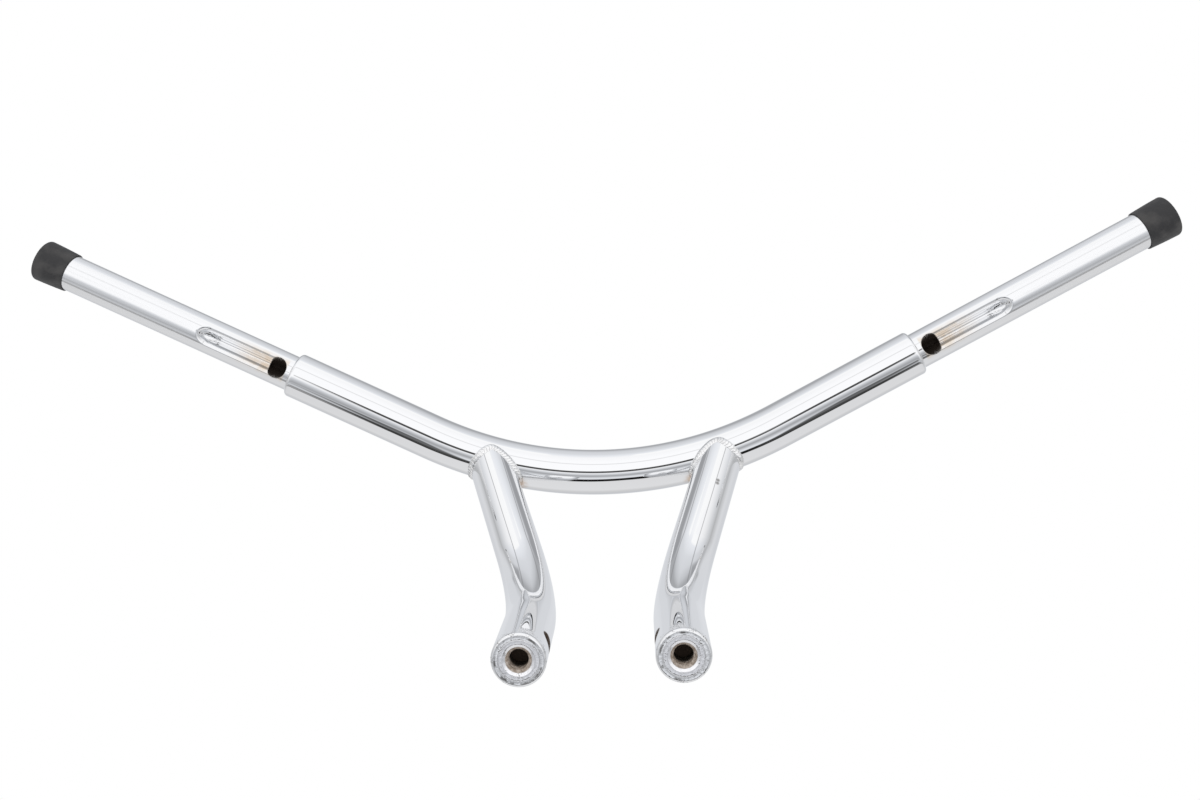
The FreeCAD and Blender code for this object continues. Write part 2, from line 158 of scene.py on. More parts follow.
def bar_nearest(points):
    """The point of the bar's bent axis nearest to each given point: straight towards the arc's centre."""
    cos, sin = math.cos(ARM_DROP), math.sin(ARM_DROP)
    x = points[..., 0]
    y = (points[..., 1] + PULL_BACK) * cos + (points[..., 2] - BAR_RISE) * sin
    angle = np.arctan2(x, y + BEND_RADIUS)
    return bar_line(angle * BEND_RADIUS)[0]


def riser_plan(side):
    """Where a riser's axis starts, which way it leans, how far it turns and where it meets the bar."""
    foot = np.array([side * FOOT_X, 0.0, 0.0])
    meet = bar_line(np.array([side * BEND_RADIUS * MEET_ANGLE]))[0][0]
    offset = meet - foot
    reach = math.hypot(offset[0], offset[1])
    lean = np.array([offset[0], offset[1], 0.0]) / reach
    slant = math.hypot(reach - RISER_BEND_RADIUS, offset[2] - LOWER_RUN)
    turn = math.acos(-RISER_BEND_RADIUS / slant) - math.acos((reach - RISER_BEND_RADIUS) / slant)
    return foot, lean, turn, meet


def riser_line(length, plan):
    """A riser's axis at a length from its foot: upright, then an arc towards the lean, then straight.

    Gives the point, the direction along it, the direction square to it towards the lean, and sideways.
    """
    foot, lean, turn, _ = plan
    angle = np.clip((length - LOWER_RUN) / RISER_BEND_RADIUS, 0.0, turn)
    lower = np.minimum(length, LOWER_RUN)
    upper = np.maximum(length - LOWER_RUN - RISER_BEND_RADIUS * turn, 0.0)
    cos, sin = np.cos(angle)[..., None], np.sin(angle)[..., None]
    up = np.array([0.0, 0.0, 1.0])
    along = sin * lean + cos * up
    inward = cos * lean - sin * up
    point = (
        foot
        + lower[..., None] * up
        + RISER_BEND_RADIUS * ((1 - cos) * lean + sin * up)
        + upper[..., None] * along
    )
    sideways = np.broadcast_to(np.cross(up, lean), along.shape)
    return point, along, inward, sideways


def riser_mouth(plan, around, depth):
    """How far each line of a riser's outside runs until it is a depth inside the bar, by halving."""
    straight = LOWER_RUN + RISER_BEND_RADIUS * plan[2]
    low = np.full_like(around, straight)
    meet = straight + np.linalg.norm(plan[3] - riser_line(low[:1], plan)[0][0])
    high = np.full_like(around, meet)
    for _ in range(40):
        middle = (low + high) / 2
        point, _, inward, sideways = riser_line(middle, plan)
        place = point + RISER_RADIUS * (np.cos(around)[:, None] * inward + np.sin(around)[:, None] * sideways)
        outside = np.linalg.norm(place - bar_nearest(place), axis=-1) > BAR_RADIUS - depth
        low = np.where(outside, middle, low)
        high = np.where(outside, high, middle)
    return low


def round_angles(count):
    """Angles of evenly spaced stations round a full turn."""
    return np.linspace(0.0, 2 * math.pi, count, endpoint=False)


def make_centre_tube():
    """The centre tube: a closed outline of length and radius, turned about the bent axis.

    The outline goes along the outside, round each shoulder in a quarter circle, and back along the bore.
    """
    roll = 0.0026
    outside = BAR_RADIUS - INSIDE_BOX
    quarter = np.linspace(0.0, math.pi / 2, 14)[1:]
    half = np.concatenate([np.linspace(0.0, STEP - roll, 150), STEP - roll + roll * np.sin(quarter)])
    half_radius = np.concatenate([np.full(150, outside), outside - roll + roll * np.cos(quarter)])
    bore = np.linspace(STEP, -STEP, 121)
    bore_radius = np.full_like(bore, GRIP_RADIUS + 0.0002)
    length = np.concatenate([half, bore, -half[:0:-1]])
    radius = np.concatenate([half_radius, bore_radius, half_radius[:0:-1]])
    point, _, front, top = (v[:, None] for v in bar_line(length))
    v = round_angles(144)[None, :, None]
    grid = point + radius[:, None, None] * (np.cos(v) * front + np.sin(v) * top)
    return shell("centre_tube_plated", grid, loop=True)


def make_riser(name, side):
    """A riser: a ring carried up the bent axis, each of its lines ending where it reaches the bar.

    Near the foot the surface sinks in a slot for the wires, and the foot's edge is rounded.
    """
    plan = riser_plan(side)
    v = round_angles(192)
    mouth = riser_mouth(plan, v, 0.0003)
    roll = 0.0018
    quarter = np.linspace(0.0, math.pi / 2, 10)
    edge_radius = [FOOT_BORE, FOOT_BORE, 0.01145, 0.0116, 0.0128]
    fixed = np.concatenate([[FOOT_PLUG, 0.0002, 0.00003, 0.0, 0.0], roll - roll * np.cos(quarter)])
    fixed_radius = np.concatenate([edge_radius, RISER_RADIUS - roll + roll * np.sin(quarter)])
    share = np.concatenate(
        [np.linspace(0.0021, 0.015, 14), np.linspace(0.0155, 0.0275, 49), np.linspace(0.029, 0.175, 110)]
    )
    tail = np.linspace(0.0, 1.0, 30)[1:]
    upper = share[-1] + (mouth[None, :] - share[-1]) * tail[:, None]
    level = np.repeat(np.concatenate([fixed, share])[:, None], len(v), 1)
    length = np.concatenate([level, upper])
    radius = np.concatenate([fixed_radius, np.full(len(share) + len(tail), RISER_RADIUS)])[:, None]
    point, _, inward, sideways = riser_line(length, plan)
    ring = np.cos(v)[None, :, None] * inward + np.sin(v)[None, :, None] * sideways
    flat = point + radius[..., None] * ring
    hole = np.hypot(flat[..., 1] - np.clip(flat[..., 1], -0.0035, 0.0), flat[..., 2] - SLOT_HEIGHT)
    facing = ((flat[..., 0] - point[..., 0]) * side < 0) & (length > 0.001) & (length < 0.04)
    rim = SLOT_HALF_WIDTH + 0.0007
    sink = np.where(facing, 1.0 - smooth_step(SLOT_HALF_WIDTH, rim, hole), 0.0)
    grid = point + (radius - 0.008 * sink)[..., None] * ring
    # Mask of painted shade: the slot's inside and the foot's bore are coloured dark for the shade inside the
    # hollow tube.
    inside = np.where(facing, 1.0 - smooth_step(rim, rim + 0.0004, hole), 0.0)
    inside[:2] = 1.0
    plug = plan[0] + [0, 0, FOOT_PLUG]
    return shell(f"{name}_riser_plated", grid, start=plug, end=plan[3], masks={"inside": inside})


def make_bung(name, side):
    """A bung turned about the foot's axis: a closed outline whose bore carries a helical thread.

    The thread is a triangle wave of height and turn, faded out at the bevelled mouth.
    """
    pitch = 0.001954
    outline = np.array(
        [
            [0.01138, 0.0150],
            [0.01138, 0.0002],
            [0.01134, 0.00004],
            [0.01120, 0.0],
            [0.01035, 0.0],
            [0.00960, 0.0],
            [0.00925, 0.00001],
            [0.00890, 0.00005],
            [0.00870, 0.00012],
            [0.00810, 0.00040],
            [0.00745, 0.00070],
            [0.00732, 0.00080],
            [0.00720, 0.00095],
        ]
    )
    mouth_rows = len(outline)
    depth = np.linspace(0.0011, 0.0150, 150)
    bore = np.stack([np.maximum(0.0054, 0.0071 - (depth - 0.0011) * 0.95), depth], axis=-1)
    outline = np.concatenate([outline, bore])
    v = round_angles(96)
    radius = np.repeat(outline[:, :1], len(v), 1)
    height = np.repeat(outline[:, 1:], len(v), 1)
    turn = height / pitch + v[None, :] / (2 * math.pi)
    wave = np.abs((turn % 1.0) * 2 - 1)
    row = np.arange(len(outline))[:, None]
    cut = np.where(row >= mouth_rows, smooth_step(0.0020, 0.0034, height), 0.0)
    radius = radius + 0.00085 * wave * cut
    grid = np.stack([side * FOOT_X + radius * np.cos(v), radius * np.sin(v), height], axis=-1)
    bare = np.where(row >= mouth_rows - 2, smooth_step(0.0007, 0.0011, height), 0.0)
    # The depth mask sets the painted shade down the bore.
    masks = {"bare": bare, "depth": height / height.max()}
    return shell(f"{name}_bung_turned", grid, loop=True, masks=masks)


def weld_root(plan, v):
    """The line where a riser's outside meets the bar's, with the directions straight off the two tubes."""
    point, _, inward, sideways = riser_line(riser_mouth(plan, v, 0.0), plan)
    off_riser = np.cos(v)[:, None] * inward + np.sin(v)[:, None] * sideways
    root = point + RISER_RADIUS * off_riser
    return root, off_riser, normalised(root - bar_nearest(root))


def weld_corner(side):
    """The point of that line in the crook of the two tubes, towards the bar's middle and front."""
    root = weld_root(riser_plan(side), round_angles(360))[0]
    return tuple(root[np.argmax(root[:, 1] - side * root[:, 0])])


def make_weld(name, side):
    """A weld bead: at each station round the riser a crowned arc from the riser's wall to the bar's.

    The arc's ends lie on the two tubes a leg from the line where they meet. The crown rises and falls in
    overlapping curved ripples, like laid coins, and the legs wander a little.
    """
    v = round_angles(720)
    root, off_riser, off_bar = weld_root(riser_plan(side), v)
    heading = normalised(np.cross(off_riser, off_bar))
    down_riser = np.cross(heading, off_riser)
    down_riser *= np.sign(np.einsum("ij,ij->i", down_riser, off_bar))[:, None]
    along_bar = np.cross(heading, off_bar)
    along_bar *= np.sign(np.einsum("ij,ij->i", along_bar, off_riser))[:, None]
    outward = normalised(off_riser + off_bar)
    steps = np.linalg.norm(root - np.roll(root, 1, axis=0), axis=-1)
    run = np.cumsum(steps)
    count = round(run[-1] / 0.0021)
    t = np.linspace(0.0, 1.0, 23)[None, :]
    wander = hash_wave(v * 4, 1.0 + side)[:, None] * 0.0004
    leg_riser = 0.0027 + wander
    leg_bar = 0.0026 - hash_wave(v * 3, 4.0 - side)[:, None] * 0.0004
    ends = []
    for leg, direction, off, radius in (
        (leg_riser, down_riser, off_riser, RISER_RADIUS),
        (leg_bar, along_bar, off_bar, BAR_RADIUS),
    ):
        slide = root + leg * direction
        bulge = radius - np.sqrt(np.maximum(radius**2 - leg**2, 0.0)) if direction is along_bar else 0.0 * leg
        ends.append(slide - bulge * off - 0.00012 * off)
    phase = run / run[-1] * count
    phase = phase[:, None] + 0.55 * (2 * t - 1) ** 2 + 0.16 * hash_wave(v * 7, 2.0)[:, None]
    ripple = (phase % 1.0) ** 0.7
    crown = 0.00095 + 0.00055 * (ripple - 0.5) + 0.0002 * hash_wave(v * 5, 3.0)[:, None]
    face = (
        ends[0][:, None] * (1 - t)[..., None]
        + ends[1][:, None] * t[..., None]
        + outward[:, None] * (crown * 4 * t * (1 - t))[..., None]
    )
    back = root - 0.0009 * outward
    grid = np.swapaxes(np.concatenate([face, back[:, None]], axis=1), 0, 1)
    # The groove mask also sets the painted shade in the hollows between the ripples.
    groove = np.vstack([(1 - ripple).T, np.zeros((1, len(v)))])
    return shell(f"{name}_weld_bead", grid, loop=True, masks={"groove": groove})


def make_grip_tube(name, side):
    """A grip tube: a ring carried out along the arm, pressed in to make the wiring trough.

    The press depth is a rounded gutter of the distance from the trough's middle line, measured on the
    unrolled wall. At its inner end the gutter opens into the bore through a hole with one straight edge.
    """
    along = np.concatenate(
        [
            np.linspace(-0.010, 0.002, 5),
            np.linspace(0.0025, 0.019, 67),
            np.linspace(0.0195, 0.080, 150),
            np.linspace(0.082, GRIP_REACH, 60),
        ]
    )
    v = np.linspace(-math.pi, math.pi, 224, endpoint=False)
    v = v - 0.72 * np.sin(v)
    start, direction, front, top = (w[0] for w in bar_line(np.array([side * STEP])))
    direction = direction * side
    down = -math.cos(TROUGH_TURN) * top - math.sin(TROUGH_TURN) * front
    across = math.cos(TROUGH_TURN) * front - math.sin(TROUGH_TURN) * top
    s = along[:, None]
    lateral = GRIP_RADIUS * v[None, :]
    beyond = np.maximum(s - 0.0615, 0.0) + np.maximum(0.0102 - s, 0.0)
    reach = np.hypot(lateral, beyond * np.where(s > 0.03, 0.82, 1.0))
    gutter = 0.0066 - np.sqrt(np.maximum(0.0066**2 - np.minimum(reach, 0.0058) ** 2, 0.0))
    floor = 0.0078 - gutter
    ramp = 1.0 - smooth_step(0.054, 0.066, s) * 0.25
    press = floor * (1.0 - smooth_step(0.0036, 0.0072, reach)) * ramp
    mouth = np.hypot(lateral / 0.0076, (s - 0.0101) / 0.0067)
    bowed = s + 0.5 * lateral**2 / 0.02
    edge = smooth_step(WIRE_HOLE_EDGE, WIRE_HOLE_EDGE + 0.0006, bowed)
    hole = (1.0 - smooth_step(0.96, 1.03, mouth)) * (1.0 - edge)
    radius = (GRIP_RADIUS - press) * (1 - hole) + 0.0016 * hole
    ring = np.cos(v)[None, :, None] * down + np.sin(v)[None, :, None] * across
    grid = start + s[..., None] * direction + radius[..., None] * ring
    tips = (start + along[0] * direction, start + along[-1] * direction)
    trough_end = smooth_step(0.052, 0.058, s) * (1.0 - smooth_step(0.0655, 0.069, s))
    rough = trough_end * (1.0 - smooth_step(0.003, 0.0066, reach))
    trough_start = (1.0 - smooth_step(0.018, 0.050, s)) * (s > 0.003)
    tan = trough_start * (1.0 - smooth_step(0.0062, 0.0100, np.abs(lateral)))
    satin = smooth_step(0.066, 0.082, s) * np.ones_like(lateral)
    # Mask of painted shade: the hole's inside is coloured near black for the shade inside the bore.
    dark_edge = smooth_step(WIRE_HOLE_EDGE + 0.0006, WIRE_HOLE_EDGE + 0.0010, bowed)
    dark = (1.0 - smooth_step(1.03, 1.07, mouth)) * (1.0 - dark_edge)
    masks = {"inside": dark, "rough": rough, "tan": tan, "satin": satin}
    return shell(f"{name}_grip_plated", grid, start=tips[0], end=tips[1], masks=masks)


def make_cap(name, side):
    """An end cap: an outline of length and radius turned about the arm, flared to a rounded closed end."""
    start, direction, front, top = (w[0] for w in bar_line(np.array([side * STEP])))
    direction = direction * side
    first = GRIP_REACH - CAP_COVER
    last = GRIP_REACH + CAP_FLOOR - 0.0001
    lip_depth, corner, face_radius, dish = 0.0004, 0.0018, 0.01272, 0.0001
    lip = np.linspace(0.0, math.pi, 9)
    roll = np.linspace(0.0, math.pi / 2, 12)
    lip_along = first + lip_depth - lip_depth * np.sin(lip)
    lip_radius = 0.01325 - 0.00045 * np.cos(lip)
    wall = np.linspace(0.0, 1.0, 26)[1:-1]
    wall_along = first + lip_depth + (last - corner - first - lip_depth) * wall
    wall_radius = 0.0137 + 0.00082 * wall + 0.00012 * np.sin(math.pi * wall)
    roll_along = last - corner + corner * np.sin(roll)
    roll_radius = face_radius + corner * np.cos(roll)
    end_radius = np.array([0.0120, 0.0100, 0.0060, 0.0020])
    end_along = last - dish * (1 - end_radius / face_radius)
    inner = GRIP_REACH - 0.001
    length = np.concatenate([[inner], lip_along, wall_along, roll_along, end_along])
    radius = np.concatenate([[0.01278], lip_radius, wall_radius, roll_radius, end_radius])
    v = round_angles(112)[None, :, None]
    ring = np.cos(v) * front + np.sin(v) * top
    grid = start + length[:, None, None] * direction + radius[:, None, None] * ring
    tips = (start + inner * direction, start + (last - dish) * direction)
    return shell(f"{name}_cap_moulded", grid, start=tips[0], end=tips[1])


def new_material(name):
    """A material and its node tree, emptied."""
    material = bpy.data.materials.new(name)
    material.use_nodes = True
    tree = material.node_tree
    tree.nodes.clear()
    return material, tree


def put(tree, socket, value):
    """Sets an input's value, or links it to the output given."""
    if isinstance(value, bpy.types.NodeSocket):
        tree.links.new(value, socket)
    else:
        socket.default_value = value


def node(tree, kind, settings=None, **inputs):
    """A node with its settings and inputs. An input is named by its label or by i and its number."""
    made = tree.nodes.new(kind)
    for key, value in (settings or {}).items():
        setattr(made, key, value)
    for key, value in inputs.items():
        numbered = key[0] == "i" and key[1:].isdigit()
        put(tree, made.inputs[int(key[1:]) if numbered else key.replace("_", " ")], value)
    return made


def sum_up(tree, operation, *values, clamp=False):
    """A Math node's result."""
    inputs = {f"i{index}": value for index, value in enumerate(values)}
    return node(tree, "ShaderNodeMath", {"operation": operation, "use_clamp": clamp}, **inputs).outputs[0]


def product(tree, *values):
    """The product of two or more values."""
    total = values[0]
    for value in values[1:]:
        total = sum_up(tree, "MULTIPLY", total, value)
    return total


def noise(tree, place, scale, detail, roughness=0.5):
    """The value of a cloudy noise at a place."""
    values = {"Vector": place, "Scale": scale, "Detail": detail, "Roughness": roughness}
    return node(tree, "ShaderNodeTexNoise", None, **values).outputs["Fac"]


def distance(tree, place, point):
    """How far a place is from a point."""
    return node(tree, "ShaderNodeVectorMath", {"operation": "DISTANCE"}, i0=place, i1=point).outputs["Value"]


def spread(tree, value, low, high, to_low=0.0, to_high=1.0):
    """A value stretched smoothly from one range to another."""
    settings = {"interpolation_type": "SMOOTHSTEP"}
    made = node(tree, "ShaderNodeMapRange", settings, i0=value, i1=low, i2=high, i3=to_low, i4=to_high)
    return made.outputs[0]


def blend_colour(tree, share, first, second):
    """One colour laid over another by a share."""
    made = node(tree, "ShaderNodeMix", {"data_type": "RGBA"}, i0=share, i6=first, i7=second)
    return made.outputs[2]


def near(tree, place, points, inner, outer):
    """How near a place is to any of some points: 1 inside the inner distance, 0 past the outer one."""
    total = None
    for point in points:
        share = spread(tree, distance(tree, place, point), outer, inner)
        total = share if total is None else sum_up(tree, "MAXIMUM", total, share)
    return total


def object_place(tree):
    """The place on the piece, in metres."""
    return node(tree, "ShaderNodeTexCoord").outputs["Object"]


def attribute(tree, name):
    """A mask stored on the mesh."""
    return node(tree, "ShaderNodeAttribute", {"attribute_name": name}).outputs["Fac"]


def make_plating_group():
    """Chrome plate's own unevenness: a slow ripple from polishing, haze, and pinpoint pits.

    It puts out a height for the bump, a roughness to add and a mask of the pits.
    """
    group = bpy.data.node_groups.new("plating", "ShaderNodeTree")
    face = group.interface
    face.new_socket("Place", in_out="INPUT", socket_type="NodeSocketVector")
    face.new_socket("Pits", in_out="INPUT", socket_type="NodeSocketFloat")
    for name in ("Height", "Haze", "Pit"):
        face.new_socket(name, in_out="OUTPUT", socket_type="NodeSocketFloat")
    start = group.nodes.new("NodeGroupInput")
    finish = group.nodes.new("NodeGroupOutput")
    place = start.outputs["Place"]
    slow = noise(group, place, 70.0, 1.0, 0.4)
    haze = noise(group, place, 240.0, 4.0, 0.6)
    specks = node(group, "ShaderNodeTexVoronoi", None, Vector=place, Scale=900.0).outputs["Distance"]
    patches = noise(group, place, 160.0, 3.0)
    pit = product(group, spread(group, specks, 0.42, 0.16), spread(group, patches, 0.50, 0.66))
    pit = sum_up(group, "MULTIPLY", pit, start.outputs["Pits"], clamp=True)
    height = sum_up(group, "SUBTRACT", product(group, slow, 0.35), pit)
    group.links.new(height, finish.inputs["Height"])
    group.links.new(product(group, spread(group, haze, 0.45, 0.75), 0.05), finish.inputs["Haze"])
    group.links.new(pit, finish.inputs["Pit"])
    return group


PLATING = make_plating_group()
PLATE = (0.90, 0.905, 0.915, 1.0)
TAN = (0.82, 0.75, 0.67, 1.0)
HEAT = (0.60, 0.45, 0.33, 1.0)
# Painted shade for the inside of the risers' wire slots and feet.
SLOT_PAINTED_SHADE = (0.085, 0.062, 0.048, 1.0)
# Painted shade for the inside of the grip tubes' wire holes.
HOLE_PAINTED_SHADE = (0.020, 0.015, 0.012, 1.0)
# Painted shade deep in the bungs' bores.
BORE_PAINTED_SHADE = (0.045, 0.038, 0.032, 1.0)


def plating_of(tree, place, pits):
    """The plating group placed in a material."""
    return node(tree, "ShaderNodeGroup", {"node_tree": PLATING}, Place=place, Pits=pits).outputs


def finish_plate(tree, colour, roughness, height, strength, metallic=1.0):
    """The metal shader with its bump, joined to the output."""
    bump = node(tree, "ShaderNodeBump", None, Strength=strength, Distance=0.0004, Height=height)
    shader = node(
        tree,
        "ShaderNodeBsdfPrincipled",
        None,
        Base_Color=colour,
        Roughness=roughness,
        Metallic=metallic,
        Specular_IOR_Level=0.08,
        Normal=bump.outputs["Normal"],
    )
    node(tree, "ShaderNodeOutputMaterial", None, Surface=shader.outputs["BSDF"])


def make_tube_chrome(weld_points):
    """Bright chrome for the centre tube and the risers, browned by heat beside the welds, with painted shade
    in the slots.
    """
    material, tree = new_material("tube_chrome")
    place = object_place(tree)
    inside = attribute(tree, "inside")
    blemish = near(tree, place, [(0.0757, -0.0642, 0.1611), (0.0763, -0.0658, 0.1629)], 0.0006, 0.0019)
    feet = near(tree, place, [(-FOOT_X, 0.0, 0.0), (FOOT_X, 0.0, 0.0)], 0.0150, 0.0185)
    pitted = sum_up(tree, "MAXIMUM", product(tree, feet, 1.8), blemish)
    plating = plating_of(tree, place, pitted)
    split = node(tree, "ShaderNodeSeparateXYZ", None, i0=place).outputs
    either_side = sum_up(tree, "ABSOLUTE", split[0])
    folded = node(tree, "ShaderNodeCombineXYZ", None, i0=either_side, i1=split[1], i2=split[2]).outputs[0]
    reach = distance(tree, folded, (FOOT_X, 0.0, 0.0))
    broken = spread(tree, noise(tree, place, 130.0, 4.0), 0.50, 0.60, 0.0, 0.85)
    arcs = product(tree, spread(tree, reach, 0.0122, 0.0127), spread(tree, reach, 0.0138, 0.0132), broken)
    warm = near(tree, place, weld_points, 0.003, 0.010)
    uneven = noise(tree, place, 320.0, 3.0)
    warm = product(tree, warm, spread(tree, uneven, 0.35, 0.65, 0.35, 0.95))
    colour = blend_colour(tree, warm, PLATE, HEAT)
    colour = blend_colour(tree, product(tree, plating["Pit"], 0.75), colour, (0.16, 0.15, 0.14, 1.0))
    colour = blend_colour(tree, arcs, colour, (0.12, 0.11, 0.10, 1.0))
    colour = blend_colour(tree, product(tree, blemish, 0.75), colour, (0.17, 0.16, 0.15, 1.0))
    # Painted shade: the slot and the foot's bore take a dark colour in place of the shade inside the tube.
    colour = blend_colour(tree, inside, colour, SLOT_PAINTED_SHADE)
    rough = sum_up(tree, "MULTIPLY_ADD", plating["Haze"], 0.3, product(tree, plating["Pit"], 0.4))
    rough = sum_up(tree, "ADD", rough, sum_up(tree, "MULTIPLY_ADD", inside, 0.7, 0.012))
    lumps = noise(tree, place, 650.0, 3.0)
    height = sum_up(tree, "ADD", plating["Height"], product(tree, lumps, feet, 6.0))
    finish_plate(tree, colour, rough, height, 0.05, sum_up(tree, "SUBTRACT", 1.0, inside))
    return material


def make_grip_chrome():
    """The grip tubes' softer chrome, with tan stains by the wire hole, painted shade in it and a pitted end of
    the trough.
    """
    material, tree = new_material("grip_chrome")
    place = object_place(tree)
    inside = attribute(tree, "inside")
    rough_end = attribute(tree, "rough")
    plating = plating_of(tree, place, rough_end)
    streaks = noise(tree, place, 190.0, 4.0)
    stain = product(tree, attribute(tree, "tan"), spread(tree, streaks, 0.30, 0.62, 0.30, 1.0))
    colour = blend_colour(tree, stain, PLATE, TAN)
    colour = blend_colour(tree, product(tree, plating["Pit"], 0.8), colour, (0.20, 0.19, 0.18, 1.0))
    # Painted shade: the wire hole is coloured near black in place of the shade inside the tube.
    colour = blend_colour(tree, inside, colour, HOLE_PAINTED_SHADE)
    blur = sum_up(tree, "MULTIPLY_ADD", attribute(tree, "satin"), 0.12, 0.014)
    blur = sum_up(tree, "MULTIPLY_ADD", rough_end, 0.06, blur)
    blur = sum_up(tree, "MULTIPLY_ADD", plating["Haze"], 0.5, blur)
    rough = sum_up(tree, "ADD", blur, product(tree, inside, 0.7))
    lumps = noise(tree, place, 420.0, 2.0)
    height = sum_up(tree, "ADD", plating["Height"], product(tree, lumps, rough_end, 3.0))
    finish_plate(tree, colour, rough, height, 0.16, sum_up(tree, "SUBTRACT", 1.0, inside))
    return material


def make_weld_chrome(warm_points):
    """The bead's plate: greyed by painted shade in the hollows between ripples, browned at the inner corners.
    """
    material, tree = new_material("weld_chrome")
    place = object_place(tree)
    groove = attribute(tree, "groove")
    plating = plating_of(tree, place, 0.5)
    warm = near(tree, place, warm_points, 0.004, 0.011)
    hollow = spread(tree, groove, 0.55, 1.0, 0.0, 0.55)
    # Painted shade: the hollows between the ripples are greyed.
    colour = blend_colour(tree, hollow, (0.93, 0.93, 0.93, 1.0), (0.30, 0.29, 0.28, 1.0))
    colour = blend_colour(tree, product(tree, warm, 0.85), colour, (0.50, 0.34, 0.23, 1.0))
    colour = blend_colour(tree, product(tree, plating["Pit"], 0.6), colour, (0.14, 0.13, 0.12, 1.0))
    rough = sum_up(tree, "ADD", plating["Haze"], spread(tree, groove, 0.3, 1.0, 0.12, 0.30))
    lumps = noise(tree, place, 700.0, 3.0)
    finish_plate(tree, colour, rough, sum_up(tree, "ADD", plating["Height"], lumps), 0.25)
    return material


def make_bung_steel():
    """The bung: plated and pitted on its face, bare and browned in the thread, darkened with depth as painted
    shade.
    """
    material, tree = new_material("bung_steel")
    place = object_place(tree)
    bare = attribute(tree, "bare")
    depth = attribute(tree, "depth")
    plating = plating_of(tree, place, 0.9)
    uneven = noise(tree, place, 500.0, 4.0)
    patchy = spread(tree, uneven, 0.35, 0.65)
    rust_and_shade = blend_colour(tree, patchy, (0.60, 0.53, 0.47, 1.0), (0.34, 0.28, 0.23, 1.0))
    # Painted shade: the bare thread's rust colour darkens with depth down the bore.
    rust_and_shade = blend_colour(tree, spread(tree, depth, 0.35, 0.65), rust_and_shade, BORE_PAINTED_SHADE)
    pit = product(tree, plating["Pit"], 0.8)
    face = blend_colour(tree, pit, (0.93, 0.93, 0.95, 1.0), (0.15, 0.14, 0.13, 1.0))
    colour = blend_colour(tree, bare, face, rust_and_shade)
    rough = sum_up(tree, "ADD", sum_up(tree, "MULTIPLY_ADD", bare, 0.22, 0.16), plating["Haze"])
    height = sum_up(tree, "ADD", plating["Height"], product(tree, uneven, 0.8))
    finish_plate(tree, colour, rough, height, 0.35, sum_up(tree, "MULTIPLY_ADD", bare, -0.6, 1.0))
    return material


def make_cap_rubber():
    """Dull black rubber: a fine grain, paler where it is rubbed."""
    material, tree = new_material("cap_rubber")
    place = object_place(tree)
    grain = noise(tree, place, 1600.0, 3.0)
    cloud = noise(tree, place, 95.0, 4.0)
    rubbed = spread(tree, cloud, 0.40, 0.68)
    colour = blend_colour(tree, rubbed, (0.022, 0.022, 0.024, 1.0), (0.058, 0.056, 0.056, 1.0))
    rough = spread(tree, cloud, 0.3, 0.7, 0.50, 0.62)
    bump = node(tree, "ShaderNodeBump", None, Strength=0.25, Distance=0.0002, Height=grain).outputs["Normal"]
    shader = node(tree, "ShaderNodeBsdfPrincipled", None, Base_Color=colour, Roughness=rough, Normal=bump)
    node(tree, "ShaderNodeOutputMaterial", None, Surface=shader.outputs["BSDF"])
    return material


def dress(piece, material, cad_node):
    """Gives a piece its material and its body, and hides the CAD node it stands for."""
    piece.data.materials.append(material)
    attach(piece, "root")
    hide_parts(cad_node)


def make_bar():
    """Every piece of the bar with its finish."""
    corners = [weld_corner(side) for side in SIDES.values()]
    tube = make_tube_chrome(corners)
    grip = make_grip_chrome()
    weld = make_weld_chrome(corners)
    bung = make_bung_steel()
    cap = make_cap_rubber()
    dress(make_centre_tube(), tube, "centre_tube")
    for name, side in SIDES.items():
        dress(make_riser(name, side), tube, "riser_tubes")
        dress(make_weld(name, side), weld, "riser_welds")
        dress(make_bung(name, side), bung, "threaded_bungs")
        dress(make_grip_tube(name, side), grip, "grip_tubes")
        dress(make_cap(name, side), cap, "end_caps")


def make_floor():
    """A pale floor under the feet that shows only from above, so that the view from below stays clear."""
    size = 3.0
    mesh = bpy.data.meshes.new("floor")
    corners = [(-size, -size, -0.002), (size, -size, -0.002), (size, size, -0.002), (-size, size, -0.002)]
    mesh.from_pydata(corners, [], [(0, 1, 2, 3)])
    floor = bpy.data.objects.new("floor", mesh)
    bpy.context.scene.collection.objects.link(floor)
    material, tree = new_material("floor_paper")
    place = object_place(tree)
    cloud = noise(tree, place, 3.0, 2.0)
    colour = blend_colour(tree, cloud, (0.84, 0.84, 0.84, 1.0), (0.88, 0.88, 0.88, 1.0))
    shader = node(tree, "ShaderNodeBsdfPrincipled", None, Base_Color=colour, Roughness=0.8)
    clear = tree.nodes.new("ShaderNodeBsdfTransparent")
    light = tree.nodes.new("ShaderNodeLightPath")
    side = tree.nodes.new("ShaderNodeNewGeometry")
    front = sum_up(tree, "SUBTRACT", 1.0, side.outputs["Backfacing"])
    shown = product(tree, light.outputs["Is Camera Ray"], front)
    mix = node(tree, "ShaderNodeMixShader", None, i0=shown, i1=clear.outputs[0], i2=shader.outputs[0])
    node(tree, "ShaderNodeOutputMaterial", None, Surface=mix.outputs[0])
    mesh.materials.append(material)


